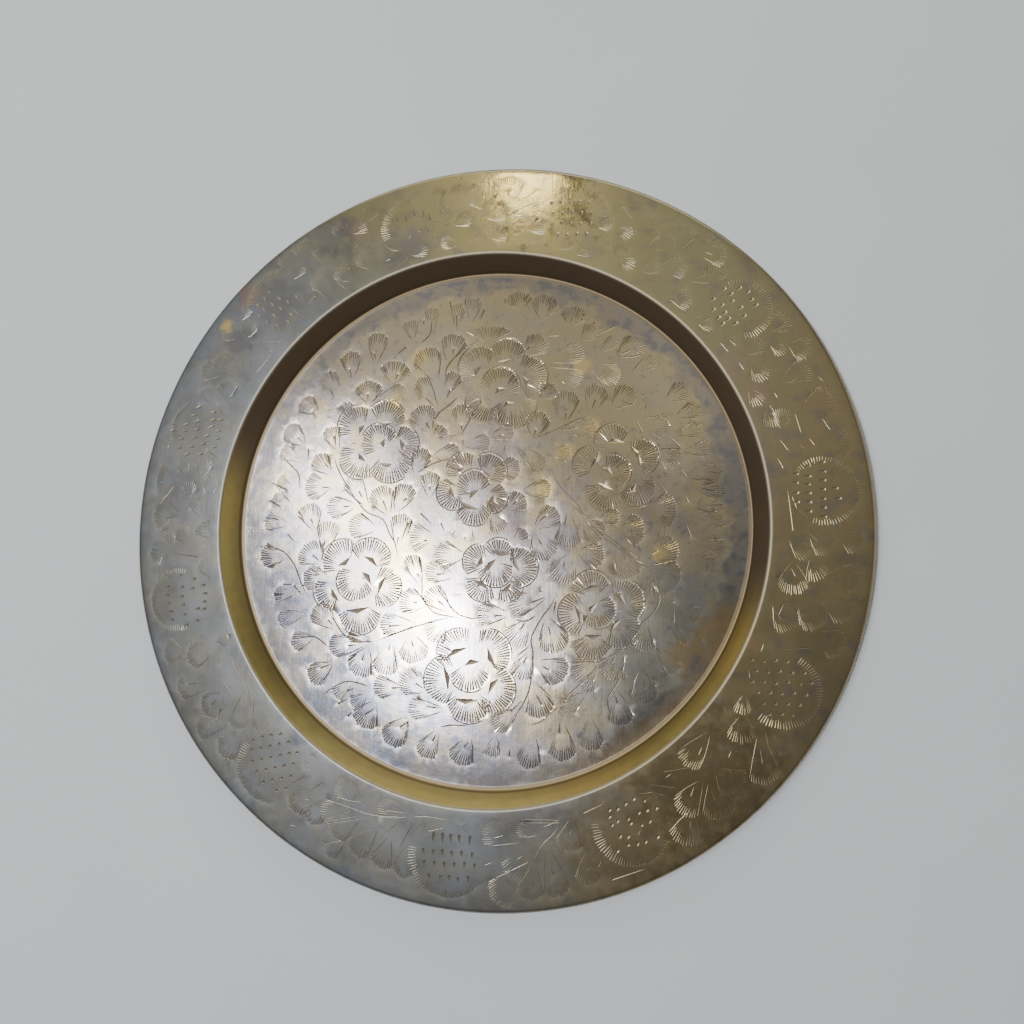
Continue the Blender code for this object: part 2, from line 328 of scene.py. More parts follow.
FLANGE_LEAVES = [
    # Bottom.
    (20, -124, 3, -121, 9, 8, -123, 11.5, -122), (26, -122, 13, -137, 9, 17, -130.5, 19, -129),
    (24, -130, 8, -147, 11), (24, -131, 21, -146, 9), (28, -124, 33, -144, 9, 30, -133, 31, -136),
    (38, -113, 37, -127, 9, 38, -117, 37, -120), (44, -125, 44, -139, 8, 44, -131, 44, -133),
    (26, -121, 16, -119, 5), (-40, -118, -63, -117, 8), (-44, -113, -56, -105, 8, -49, -105, -46, -109),
    (-24, -117, -39, -114, 7, -35, -115, -27, -115.8),
    # The fan at the lower right.
    (90, -79, 80, -93, 9, 86.5, -85.5, 85, -88.5), (87, -97, 79, -111, 9, 83.5, -100, 82, -104),
    (89, -97, 94, -112, 11, 89, -100, 91, -105), (91, -93, 101, -100, 11, 93, -91.5, 97, -94.5),
    (83, -108, 79, -122, 11, 82, -112, 81.8, -115.5),
    (101, -73, 100, -84, 10, 98.5, -74, 99, -76, 102, -73.5, 105, -78),
    (109, -77, 117, -86.5, 9, 110.5, -78.5, 113, -81), (107, -79, 109, -99, 10, 107.5, -85, 108.3, -91),
    # Right.
    (125, 44, 139, 48, 10), (133, 30, 144, 31, 10), (118, 54, 129, 61, 9, 120.5, 54, 124, 56),
    (113, 46, 114, 36, 6), (127, -6, 136, -10, 9), (138, -5, 147, -9, 9),
    (132, -21, 145.5, -22, 9, 135, -20.5, 137.5, -21),
    (121, -15, 120.5, -28.5, 9, 120, -18, 121.5, -21.5), (113, -31, 121, -41, 11, 114, -35, 116, -37.5),
    (122, -31, 131, -40, 10), (132, -30, 142, -36, 9), (128, -42, 138.5, -49, 10),
    # Upper right and top.
    (79, 110, 82, 122, 11), (88, 108, 98, 111, 12), (72, 103, 82.5, 103, 9), (75, 90, 84.5, 89, 9),
    (92, 96, 96, 104, 8), (66, 112, 67, 122, 9), (62, 124, 64, 131, 12),
    (113, 76, 122, 81, 9, 115, 75, 120, 77.5), (121, 70, 130, 67, 10),
    (9, 134, 9, 147.5, 10, 8.5, 137.5, 8.5, 141), (8, 130, 22, 132, 6, 8, 129, 14, 132),
    (-1, 133, -6, 140, 7),
    # Upper left and left.
    (-62, 120, -67, 131, 8), (-80, 113, -82, 124, 12), (-90, 112, -92, 117, 5), (-72, 112, -74, 122, 9),
    (-110, 80, -117, 85, 8), (-102, 62, -98, 78, 11, -103.5, 70.5, -103, 67, -99, 71, -100, 67.5),
    (-109, 62, -120, 72, 9), (-113, 52, -114, 61, 9), (-135, 16, -145, 16, 15), (-135, 2, -145, 2, 11),
    # Lower left.
    (-126, -56, -136, -56, 9), (-113, -57, -125, -57, 9),
    (-113, -70, -129, -70, 9, -124, -69.5, -118.5, -69),
    (-107, -72, -115, -82, 10, -113, -78, -110, -75.5), (-104, -85, -119, -88, 9, -113, -86, -108, -86.5),
    (-98, -90, -108, -97, 9), (-60, -102, -71, -97, 6), (-97, -70, -100, -87, 9), (-93, -74, -88, -87, 8),
    (-139, -14, -145, -17, 7), (-66, -108, -75, -118, 9), (-60, -112, -68, -122, 8),
    (-38, -121, -49, -133, 10), (-33, -124, -38, -138, 9), (-27, -128, -28, -141, 7),
    (-45, -118, -58, -126, 9), (-52, -128, -60, -134, 7),
    # Between the pineapples at the upper left.
    (-58, 103, -66, 110, 8), (-68, 99, -77, 106, 7), (-50, 108, -56, 116, 7), (-88, 78, -96, 83, 7),
    (-116, 64, -127, 67, 8), (45, 111, 51, 118, 6), (54, 108, 58, 114, 6), (-22, 136, -22, 145, 6),
    (-12, 117, -20, 120, 6), (104, 66, 111, 72, 7), (118, 35, 118, 44, 6),
]

FLANGE_STROKES = [
    (42, -112, 50, -108), (74, -112, 68, -106), (53, -136, 66, -131), (121, 9, 123, 4), (123, 4, 127, 1),
    (-90, -110, -89, -103), (33, -115, 17, -115.5), (33, -116, 18, -116.8), (32, -115.5, 27, -118),
    (-18, -122, -12, -120.5), (-48, -111, -43, -115), (72, -95.3, 86, -92.5), (72.8, -97.4, 75, -96),
    (76, -101, 65, -100), (120, 27, 117, 31.5), (118, 20, 116, 24), (125, 34, 123, 42),
    (136, 35, 133, 40), (130, 29, 128, 32), (121, -4, 119.5, 12), (130, -8, 126, -4),
    (126, -48, 114, -49), (90, 100, 86.5, 98), (91, 96, 83, 97), (98, 67, 95, 71), (14, 127, 10, 125),
    (14, 120.5, 11, 120.5), (24, 118, 18, 117), (-2, 120.5, -9, 118), (9, 129, 20, 128.5),
    (20, 140, 14, 136), (-109, 65, -112, 70), (-104, 57, -103, 61), (-111, 49, -115, 53),
    (-134, 4, -140, 10), (-136, 2, -139, 6), (-135, 1, -140, 0.5), (-138, -4, -142, -5.5),
    (-138, -16.5, -141, -15), (-122, -16, -136, -14.5), (-103.5, -99, -106, -100),
    (-103.5, -101, -105, -102), (-104, -70, -111, -66), (-104, -58, -99, -67), (-101, -60, -96, -69),
    (-108, -66, -103, -73), (-28, -118, -38, -126), (-25, -121, -30, -130), (-20, -119, -26, -125),
    (-50, -116, -57, -119), (-62, -106, -68, -110), (-70, -104, -78, -109), (-85, 92, -80, 88),
    (-74, 100, -69, 95), (-66, 104, -60, 99), (-118, 50, -113, 44), (-121, 30, -115, 26),
    (72, -104, 66, -102), (68, -103, 62, -104), (115, -36, 117, -32), (122, -34, 123, -40),
]

FLANGE_STEMS = [
    [(33, -117), (30, -121), (26, -125), (23, -131)], [(-24, -117), (-18, -116.5), (-10, -117.5)],
    [(-45, -116.5), (-38, -117.5), (-30, -117.3)], [(-108, 73), (-107, 68), (-106, 62)],
    [(-104, -58), (-99, -65), (-96, -71), (-95, -76)], [(-45, 120), (-42, 117), (-38, 116)],
]


def polar(x, y, radius, angle):
    return Vector((x + radius * math.cos(angle), y + radius * math.sin(angle)))


class Engraving:
    """Chisel strokes in plan. Each is a groove with a V section that dies out at its ends."""

    def __init__(self, inner, outer):
        self.inner = inner
        self.outer = outer
        self.outlines = []
        self.valleys = []
        self.cells = {}

    def cut(self, path, halves):
        """Cuts along a path, with the groove's half width at each of its points."""
        last = len(path) - 1
        left, right, valley, depths = [], [], [], []
        for i, (point, half) in enumerate(zip(path, halves)):
            along = (path[min(i + 1, last)] - path[max(i - 1, 0)]).normalized()
            side = Vector((-along.y, along.x)) * half
            blunt = half > 0 and i in (0, last)
            depths.append(0.0 if blunt else min(half * DEPTH_FOR_HALF_WIDTH, DEEPEST))
            left.append(point + side)
            if half > 0:
                right.append(point - side)
            if not blunt:
                valley.append(point)
        outline = left + right[::-1]
        reach = [point.length for point in outline]
        if min(reach) < self.inner + EDGE_MARGIN or max(reach) > self.outer - EDGE_MARGIN:
            return
        self.outlines.append(outline)
        self.valleys.append(valley)
        for i in range(last):
            self.remember(path[i], path[i + 1], halves[i : i + 2], depths[i : i + 2])

    def remember(self, start, end, halves, depths):
        """Files a stretch of groove under every cell that it may touch."""
        stretch = (start, end, halves, depths)
        lows = [min(a, b) for a, b in zip(start, end)]
        highs = [max(a, b) for a, b in zip(start, end)]
        for cell in self.cells_near(lows, highs, max(halves)):
            self.cells.setdefault(cell, []).append(stretch)

    @staticmethod
    def cells_near(lows, highs, reach):
        first = [math.floor((low - reach) / HASH_CELL) for low in lows]
        last = [math.floor((high + reach) / HASH_CELL) for high in highs]
        columns = range(first[0], last[0] + 1)
        rows = range(first[1], last[1] + 1)
        return [(column, row) for column in columns for row in rows]

    def is_empty(self, point, reach):
        """Whether no groove passes near a point."""
        return not any(cell in self.cells for cell in self.cells_near(point, point, reach))

    def depth(self, point):
        """How deep the deepest groove is at a point."""
        cell = (math.floor(point.x / HASH_CELL), math.floor(point.y / HASH_CELL))
        deepest = 0.0
        for start, end, halves, depths in self.cells.get(cell, ()):
            along = end - start
            t = (point - start).dot(along) / along.length_squared
            if not -0.001 <= t <= 1.001:
                continue
            half = halves[0] + (halves[1] - halves[0]) * t
            off = (point - start - along * t).length
            if off < half:
                level = depths[0] + (depths[1] - depths[0]) * t
                deepest = max(deepest, level * (1 - off / half))
        return deepest


def tick(engraving, head, tail, half):
    """A short cut: blunt and deep where the chisel went in, and drawn out to a point."""
    along = tail - head
    length = along.length
    path = [head, head + along * min(0.3, 0.7 / length), head + along * 0.65, tail]
    engraving.cut(path, [half * 0.85, half, half * 0.7, 0.0])


def wedge(engraving, start, end, half, bulge):
    """A broad cut like a flat triangle, with one long side nearly straight."""
    along = end - start
    side = Vector((-along.y, along.x)).normalized() * bulge
    start = start - along * 0.1
    end = end + along * 0.1
    engraving.cut([start, start.lerp(end, 0.45) + side, end], [0.0, half, 0.0])


def smooth_path(points, pieces):
    """More points along a curve through the given ones."""
    ends = [points[0] * 2 - points[1]] + points + [points[-1] * 2 - points[-2]]
    path = []
    for a, b, c, d in zip(ends, ends[1:], ends[2:], ends[3:]):
        for i in range(pieces):
            t = i / pieces
            bend = (a * 2 - b * 5 + c * 4 - d) * t * t + (b * 3 - a - c * 3 + d) * t * t * t
            path.append((b * 2 + (c - a) * t + bend) / 2)
    return path + [points[-1]]


def line(engraving, points, half, pieces=3):
    """A long drawn cut, thin at both ends."""
    path = smooth_path(points, pieces)
    last = len(path) - 1
    halves = [half * min(1.0, 2.2 * math.sin(math.pi * i / last)) for i in range(last + 1)]
    halves[0] = halves[last] = 0.0
    engraving.cut(path, halves)


def comb(engraving, rng, arc, length, half, pitch, focus):
    """Ticks side by side along an arc, all aimed at one point."""
    x, y, radius, start, end = arc
    span = math.radians(end - start)
    count = max(3, round(radius * abs(span) / pitch))
    for i in range(count + 1):
        angle = math.radians(start) + span * (i + rng.uniform(-0.12, 0.12)) / count
        head = polar(x, y, radius + rng.uniform(-0.25, 0.25), angle)
        toward = focus - head
        reach = min(length * rng.uniform(0.85, 1.15), toward.length * 0.75)
        tick(engraving, head, head + toward.normalized() * reach, half * rng.uniform(0.85, 1.12))


def outline(engraving, rng, arc, half):
    """The drawn edge of a petal, along part of its arc."""
    x, y, radius, start, end = arc
    first = start + (end - start) * rng.uniform(-0.04, 0.25)
    last = end - (end - start) * rng.uniform(-0.04, 0.3)
    points = []
    for i in range(OUTLINE_STEPS + 1):
        angle = math.radians(first + (last - first) * i / OUTLINE_STEPS)
        points.append(polar(x, y, radius + OUTLINE_GAP, angle))
    line(engraving, points, half, pieces=2)


def petal(engraving, rng, arc, length):
    """A petal's edge: its comb of ticks and its drawn outline."""
    x, y, radius, start, end = arc
    middle = math.radians((start + end) / 2)
    focus = polar(x, y, -0.45 * radius, middle)
    overlap = math.copysign(PETAL_OVERLAP, end - start)
    arc = (x, y, radius * PETAL_SPREAD, start - overlap, end + overlap)
    comb(engraving, rng, arc, length, PETAL_TICK, PETAL_PITCH, focus)
    outline(engraving, rng, arc, PETAL_OUTLINE)


def rose(engraving, rng, plan):
    """A bud with a wedge cut for its heart, and petals with a wedge cut in each."""
    bud, heart, *petals = plan
    petal(engraving, rng, bud, BUD_TICK_LENGTH)
    wedge(engraving, Vector(heart[:2]), Vector(heart[2:]), *HEART_WEDGE)
    half, bulge = PETAL_WEDGE
    for row in petals:
        petal(engraving, rng, row[:5], PETAL_TICK_LENGTH)
        wedge(engraving, Vector(row[5:7]), Vector(row[7:9]), half, rng.choice((-bulge, bulge)))


class LeafShape:
    """A leaf's outline in plan: half an ellipse round its tip, above its base."""

    def __init__(self, base, tip, width):
        self.base = base
        self.tip = tip
        self.along = (tip - base).normalized()
        self.across = Vector((-self.along.y, self.along.x))
        self.wide = width / 2 * LEAF_SPREAD
        self.tall = min(0.9 * self.wide, 0.5 * (tip - base).length)
        self.middle = tip - self.along * self.tall

    def edge(self, degrees):
        angle = math.radians(degrees)
        up = self.along * (self.tall * math.cos(angle))
        return self.middle + up + self.across * (self.wide * math.sin(angle))


def fringe(engraving, rng, shape, style, first, last):
    """The ragged ticks round a leaf's tip, all drawn towards its base."""
    length, half, pitch, _ = style
    count = max(5, round(math.radians(last - first) * (shape.wide + shape.tall) / 2 / pitch))
    focus = shape.base - shape.along
    for i in range(count + 1):
        degrees = first + (last - first) * (i + rng.uniform(-0.12, 0.12)) / count
        head = shape.edge(degrees) + shape.along * rng.uniform(-0.4, 0.4)
        toward = focus - head
        reach = length * rng.uniform(0.75, 1.2) * (1 + abs(degrees) / 300)
        reach = min(reach, toward.length * 0.62)
        tick(engraving, head, head + toward.normalized() * reach, half * rng.uniform(0.8, 1.15))


def leaf(engraving, rng, row, style):
    """A leaf with a fringe of ticks, thin drawn sides and its vein cuts."""
    half, limits = style[1], style[3]
    shape = LeafShape(Vector(row[:2]), Vector(row[2:4]), row[4])
    first = -rng.uniform(*limits)
    last = rng.uniform(*limits)
    fringe(engraving, rng, shape, style, first, last)
    for sign, limit in ((-1, first), (1, last)):
        if rng.random() < SIDE_LINE_CHANCE:
            flank = shape.edge(limit)
            start = shape.base.lerp(flank, 0.12)
            bow = shape.across * (sign * rng.uniform(0.0, 0.5))
            points = [start, start.lerp(flank, 0.5) + bow, flank]
            line(engraving, points, half * rng.uniform(0.6, 0.95), pieces=2)
    for i in range(5, len(row), 4):
        ends = [Vector(row[i : i + 2]), Vector(row[i + 2 : i + 4])]
        head, tail = sorted(ends, key=lambda end: (end - shape.tip).length)
        tick(engraving, head, tail, half * VEIN_WIDTH)


def border_leaves(rng):
    """The ring of slim leaves round the edge of the floor, where no drawn leaf is near."""
    tips = [Vector(row[2:4]) for row in FLOOR_LEAVES]
    rows = []
    for i in range(BORDER_LEAVES):
        angle = 2 * math.pi * (i + rng.uniform(-0.2, 0.2)) / BORDER_LEAVES
        tip = polar(0, 0, rng.uniform(*BORDER_TIPS), angle)
        base = polar(0, 0, rng.uniform(*BORDER_BASES), angle + BORDER_LEAN)
        if min((tip - other).length for other in tips) > BORDER_CLEAR:
            rows.append((*base, *tip, rng.uniform(*BORDER_WIDTHS)))
    return rows


def gap_strokes(engraving, rng, ring, direction, kind):
    """Yields strokes where no groove is near: middle, half the length, and that as a vector."""
    tries, gap, size = kind
    for _ in range(tries):
        place = polar(0, 0, rng.uniform(*ring), rng.uniform(0, 2 * math.pi))
        if engraving.is_empty(place, gap):
            reach = size * rng.uniform(0.8, 1.2)
            along = polar(0, 0, reach, direction(place) + rng.uniform(-0.6, 0.6))
            yield place, reach, along


def fill_gaps(engraving, rng, ring, direction, style):
    """Small leaves, then short single cuts, in the gaps that the drawn strokes leave."""
    for place, reach, along in gap_strokes(engraving, rng, ring, direction, GAP_LEAF):
        row = (*(place - along), *(place + along), reach * GAP_LEAF_WIDTH)
        leaf(engraving, rng, row, style)
    for place, reach, along in gap_strokes(engraving, rng, ring, direction, GAP_TICK):
        tick(engraving, place + along, place - along, style[1])


def away_from_rose(place):
    """The direction from the nearest rose to a place."""
    hearts = [Vector(heart[:2]) for _, heart, *_ in ROSES]
    offset = place - min(hearts, key=lambda heart: (place - heart).length)
    return math.atan2(offset.y, offset.x)


def round_the_ring(place):
    return math.atan2(place.y, place.x) + FLANGE_LEAN


def strokes_and_stems(engraving, strokes, stroke_half, stems, stem_half):
    for row in strokes:
        tick(engraving, Vector(row[:2]), Vector(row[2:]), stroke_half)
    for points in stems:
        line(engraving, [Vector(point) for point in points], stem_half)


def engrave_floor(inner, outer):
    engraving = Engraving(inner, outer)
    rng = random.Random(SEED)
    for plan in ROSES:
        rose(engraving, rng, plan)
    for row in FLOOR_LEAVES:
        leaf(engraving, rng, row, FLOOR_LEAF)
    for row in border_leaves(rng):
        leaf(engraving, rng, row, BORDER_LEAF)
    strokes_and_stems(engraving, FLOOR_STROKES, FLOOR_STROKE, FLOOR_STEMS, FLOOR_STEM)
    fill_gaps(engraving, rng, FLOOR_GAP_RING, away_from_rose, FLOOR_GAP_LEAF)
    return engraving


def pineapples(engraving, rng):
    for x, y, radius, start, end, length in PINEAPPLE_COMBS:
        arc = (x, y, radius, start, end)
        comb(engraving, rng, arc, length, PINEAPPLE_TICK, PINEAPPLE_PITCH, Vector((x, y)))
    for degrees, length, places in PINEAPPLE_SEEDS:
        for place in places:
            angle = math.radians(degrees + rng.uniform(-8, 8))
            reach = length * rng.uniform(0.85, 1.15) / 2
            head, tail = polar(*place, reach, angle), polar(*place, -reach, angle)
            tick(engraving, head, tail, PINEAPPLE_SEED)


def engrave_flange(inner, outer):
    engraving = Engraving(inner, outer)
    rng = random.Random(SEED + 1)
    pineapples(engraving, rng)
    for row in FLANGE_LEAVES:
        leaf(engraving, rng, row, FLANGE_LEAF)
    strokes_and_stems(engraving, FLANGE_STROKES, FLANGE_STROKE, FLANGE_STEMS, FLANGE_STEM)
    fill_gaps(engraving, rng, FLANGE_GAP_RING, round_the_ring, FLANGE_GAP_LEAF)
    return engraving


def bend_stations(corner, slope_in, slope_out, radius, steps):
    """Stations round a corner of the sheet's middle line, each (radius, height, slope)."""
    turn = slope_out - slope_in
    sign = math.copysign(1, turn)
    setback = radius * math.tan(abs(turn) / 2)
    start = polar(*corner, -setback, slope_in)
    centre = start + Vector((-math.sin(slope_in), math.cos(slope_in))) * radius * sign
    return arc_stations(centre, sign * radius, slope_in, slope_out, steps)


def arc_stations(centre, radius, first, last, steps):
    stations = []
    for i in range(steps + 1):
        slope = first + (last - first) * i / steps
        point = (centre[0] + radius * math.sin(slope), centre[1] - radius * math.cos(slope))
        stations.append((*point, slope))
    return stations


def flange_slope():
    """The slope of the straight flange, from the crest's corner to the top of the curl."""
    across = BEAD_CENTRE[0] - CREST_CORNER[0]
    rise = BEAD_CENTRE[1] - CREST_CORNER[1]
    return math.atan2(rise, across) + math.asin(BEAD_MIDDLE_RADIUS / math.hypot(across, rise))


def off_middle(stations, side):
    """The sheet's upper face, for side 1, or its lower face, for side -1."""
    half = side * SHEET / 2
    return [(r - half * math.sin(a), z + half * math.cos(a)) for r, z, a in stations]


class Skin:
    """Vertices and faces of the sheet, in millimetres, with how deep each vertex is cut."""

    def __init__(self):
        self.vertices = []
        self.faces = []
        self.depths = []

    def vertex(self, x, y, height, depth=0.0):
        self.vertices.append((x, y, height - depth))
        self.depths.append(depth)
        return len(self.vertices) - 1

    def ring(self, station):
        """A ring of vertices at a (radius, height); returns their numbers."""
        turn = 2 * math.pi
        spots = [polar(0, 0, station[0], turn * i / TURNS) for i in range(TURNS)]
        return [self.vertex(spot.x, spot.y, station[1]) for spot in spots]

    def bridge(self, a, b):
        for i in range(TURNS):
            j = (i + 1) % TURNS
            self.faces.append((a[i], a[j], b[j], b[i]))

    def bands(self, rings):
        for a, b in zip(rings, rings[1:]):
            self.bridge(a, b)

    def cap(self, ring, height):
        """Closes a ring with a fan."""
        middle = self.vertex(0.0, 0.0, height)
        for i in range(TURNS):
            self.faces.append((ring[i], ring[(i + 1) % TURNS], middle))

    def engraved(self, rings, engraving, height):
        """Fills the plan between rings of this skin with an engraved face."""
        known = [v for ring in rings for v in ring]
        borders = [[Vector(self.vertices[v][:2]) for v in ring] for ring in rings]
        points, edges = plan_lines(borders, engraving)
        plan, _, faces, sources, _, _ = delaunay_2d_cdt(points, edges, [], 0, MERGE)
        numbers = []
        for point, source in zip(plan, sources):
            old = [known[i] for i in source if i < len(known)]
            if old:
                numbers.append(old[0])
            else:
                depth = engraving.depth(point)
                numbers.append(self.vertex(point.x, point.y, height(point.length), depth))
        for face in faces:
            middle = sum((plan[i] for i in face), Vector((0, 0))) / len(face)
            if middle.length > engraving.inner:
                self.faces.append(tuple(numbers[i] for i in face))


def plan_lines(borders, engraving):
    """The points and edges that an engraved face is divided along."""
    points, edges = [], []
    closed_paths = borders + engraving.outlines
    for i, path in enumerate(closed_paths + engraving.valleys):
        first = len(points)
        points.extend(path)
        edges.extend((first + k, first + k + 1) for k in range(len(path) - 1))
        if i < len(closed_paths):
            edges.append((len(points) - 1, first))
    points.extend(filler(engraving.inner, engraving.outer))
    return points, edges


def filler(inner, outer):
    """Plain points between the strokes, so that the face can be a little uneven."""
    rng = random.Random(SEED + 2)
    rise = FILLER_SPACING * math.sqrt(3) / 2
    rows = int(outer / rise) + 1
    points = []
    for row in range(-rows, rows + 1):
        for column in range(-rows, rows + 1):
            shift = 0.5 * (row % 2)
            x = (column + shift + rng.uniform(-0.15, 0.15)) * FILLER_SPACING
            point = Vector((x, (row + rng.uniform(-0.15, 0.15)) * rise))
            if inner + FILLER_MARGIN < point.length < outer - FILLER_MARGIN:
                points.append(point)
    return points


def unevenness(x, y, waves, start, full):
    """How far hand work has moved the sheet up or down at a place."""
    fade = min(1.0, max(0.0, (math.hypot(x, y) - start) / (full - start)))
    total = 0.0
    for height, size, level in waves:
        total += height * noise.noise(Vector((x / size, y / size, level)))
    return fade * total


def build_skin():
    """The whole sheet, and the numbers of the vertices of its floor's upper face."""
    wall = math.atan2(CREST_CORNER[1] - FLOOR_CORNER[1], CREST_CORNER[0] - FLOOR_CORNER[0])
    flange = flange_slope()
    inner = bend_stations(FLOOR_CORNER, 0.0, wall, FLOOR_BEND, FLOOR_BEND_STEPS)
    inner += bend_stations(CREST_CORNER, wall, flange, CREST_BEND, CREST_BEND_STEPS)
    curl = arc_stations(BEAD_CENTRE, -BEAD_MIDDLE_RADIUS, flange, CURL_END_SLOPE, CURL_STEPS)
    inner_top, curl_top = off_middle(inner, 1), off_middle(curl, 1)

    skin = Skin()
    wall_rings = [skin.ring(station) for station in inner_top]
    curl_rings = [skin.ring(station) for station in curl_top]
    skin.bands(wall_rings)
    skin.bands(curl_rings)

    first = len(skin.vertices)
    floor_radius, floor_height = inner_top[0]
    engraving = engrave_floor(FLOOR_INNER, floor_radius)
    skin.engraved([wall_rings[0]], engraving, lambda radius: floor_height)
    floor_vertices = range(first, len(skin.vertices))

    near, far = inner_top[-1], curl_top[0]
    fall = (far[1] - near[1]) / (far[0] - near[0])
    engraving = engrave_flange(near[0], far[0])
    edges = [wall_rings[-1], curl_rings[0]]
    skin.engraved(edges, engraving, lambda radius: near[1] + (radius - near[0]) * fall)

    under = [skin.ring(station) for station in reversed(off_middle(inner + curl, -1))]
    skin.bridge(curl_rings[-1], under[0])
    skin.bands(under)
    skin.cap(under[-1], 0.0)
    return skin, floor_vertices


def skin_mesh():
    """The sheet as a mesh in metres, with the depth of the cuts as an attribute."""
    skin, floor_vertices = build_skin()
    places = []
    for i, (x, y, z) in enumerate(skin.vertices):
        z += unevenness(x, y, *(FLOOR_WAVES if i in floor_vertices else FLANGE_WAVES))
        places.append((x * MM, y * MM, z * MM))
    mesh = bpy.data.meshes.new("engraved_plate")
    mesh.from_pydata(places, [], skin.faces)
    cut = mesh.attributes.new("cut", "FLOAT", "POINT")
    cut.data.foreach_set("value", [depth / FULL_DIRT_DEPTH for depth in skin.depths])
    work = bmesh.new()
    work.from_mesh(mesh)
    bmesh.ops.recalc_face_normals(work, faces=work.faces)
    work.to_mesh(mesh)
    work.free()
    mesh.shade_smooth()
    mesh.set_sharp_from_angle(angle=SHARP_ANGLE)
    return mesh


def make_plate(material):
    mesh = skin_mesh()
    mesh.materials.append(material)
    plate = bpy.data.objects.new("engraved_plate", mesh)
    bpy.context.scene.collection.objects.link(plate)
    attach(plate, "root")
    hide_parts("plate")


class Paint:
    """One material's nodes. Places are in millimetres."""

    def __init__(self, name):
        self.material = bpy.data.materials.new(name)
        self.material.use_nodes = True
        self.nodes = self.material.node_tree.nodes
        self.links = self.material.node_tree.links
        self.shader = self.nodes["Principled BSDF"]
        scale = self.add("ShaderNodeVectorMath", operation="SCALE")
        scale.inputs["Scale"].default_value = 1 / MM
        self.feed(self.add("ShaderNodeTexCoord").outputs["Object"], scale.inputs[0])
        self.place = scale.outputs[0]
        split = self.add("ShaderNodeSeparateXYZ")
        self.feed(self.place, split.inputs[0])
        self.x, self.y, _ = split.outputs

    def add(self, kind, **settings):
        node = self.nodes.new(kind)
        for key, value in settings.items():
            setattr(node, key, value)
        return node

    def feed(self, source, socket):
        """Connects a socket, or sets a plain value."""
        if isinstance(source, bpy.types.NodeSocket):
            self.links.new(source, socket)
        else:
            socket.default_value = source

    def math(self, operation, a, b=0.0):
        node = self.add("ShaderNodeMath", operation=operation)
        self.feed(a, node.inputs[0])
        self.feed(b, node.inputs[1])
        return node.outputs[0]

    def product(self, first, *others):
        for other in others:
            first = self.math("MULTIPLY", first, other)
        return first

    def step(self, value, low, high):
        """0 below low, 1 above high, and smooth between; the other way round if low > high."""
        node = self.add("ShaderNodeMapRange", interpolation_type="SMOOTHSTEP")
        self.feed(value, node.inputs["Value"])
        turned = low > high
        node.inputs["From Min"].default_value = min(low, high)
        node.inputs["From Max"].default_value = max(low, high)
        node.inputs["To Min"].default_value = 1.0 if turned else 0.0
        node.inputs["To Max"].default_value = 0.0 if turned else 1.0
        return node.outputs["Result"]

    def band(self, value, start, full, end, gone):
        """1 between full and end, fading to 0 at start and at gone."""
        return self.product(self.step(value, start, full), self.step(value, gone, end))

    def fade(self, value, low, high):
        """Runs evenly from low to high as value goes from 0 to 1."""
        node = self.add("ShaderNodeMapRange")
        self.feed(value, node.inputs["Value"])
        node.inputs["To Min"].default_value = low
        node.inputs["To Max"].default_value = high
        return node.outputs["Result"]

    def noise(self, size, detail, shift, stretch=(1, 1, 1)):
        """Noise from 0 to 1 with features of about that size."""
        node = self.add("ShaderNodeMapping")
        node.inputs["Location"].default_value = (shift, shift * 0.7, shift * 0.3)
        node.inputs["Scale"].default_value = [s / size for s in stretch]
        self.feed(self.place, node.inputs["Vector"])
        pattern = self.add("ShaderNodeTexNoise")
        pattern.inputs["Scale"].default_value = 1.0
        pattern.inputs["Detail"].default_value = detail
        self.feed(node.outputs[0], pattern.inputs["Vector"])
        return pattern.outputs["Fac"]

    def slant(self, across, up):
        """How far a place is along a slanting direction in plan."""
        return self.math("ADD", self.product(self.x, across), self.product(self.y, up))

    def away(self, x, y):
        """How far a place is from a point in plan."""
        dx = self.math("SUBTRACT", self.x, x)
        dy = self.math("SUBTRACT", self.y, y)
        square = self.math("ADD", self.product(dx, dx), self.product(dy, dy))
        return self.math("SQRT", square)

    def blot(self, x, y, size, ragged):
        """1 at a place, fading to 0 about size away, with an uneven edge."""
        edge = self.product(self.math("SUBTRACT", ragged, 0.5), 1.8)
        share = self.math("DIVIDE", self.away(x, y), size)
        return self.step(self.math("ADD", share, edge), 1.0, 0.35)

    def blend(self, kind, first, result, factor, a, b):
        """Mixes with the sockets that the Mix node has for that kind of value."""
        node = self.add("ShaderNodeMix", data_type=kind)
        self.feed(factor, node.inputs["Factor"])
        self.feed(a, node.inputs[first])
        self.feed(b, node.inputs[first + 1])
        return node.outputs[result]

    def mix(self, factor, *colours):
        a, b = [(*c, 1.0) if isinstance(c, tuple) else c for c in colours]
        return self.blend("RGBA", 6, 2, factor, a, b)

    def mix_value(self, factor, a, b):
        return self.blend("FLOAT", 2, 0, factor, a, b)

    def finish(self, colour, rough, metallic):
        """Connects the colour and the roughness, and returns the material."""
        self.feed(colour, self.shader.inputs["Base Color"])
        self.feed(rough, self.shader.inputs["Roughness"])
        self.shader.inputs["Metallic"].default_value = metallic
        return self.material

    def bump(self, height, distance):
        node = self.add("ShaderNodeBump")
        node.inputs["Distance"].default_value = distance * MM
        self.feed(height, node.inputs["Height"])
        self.feed(node.outputs[0], self.shader.inputs["Normal"])


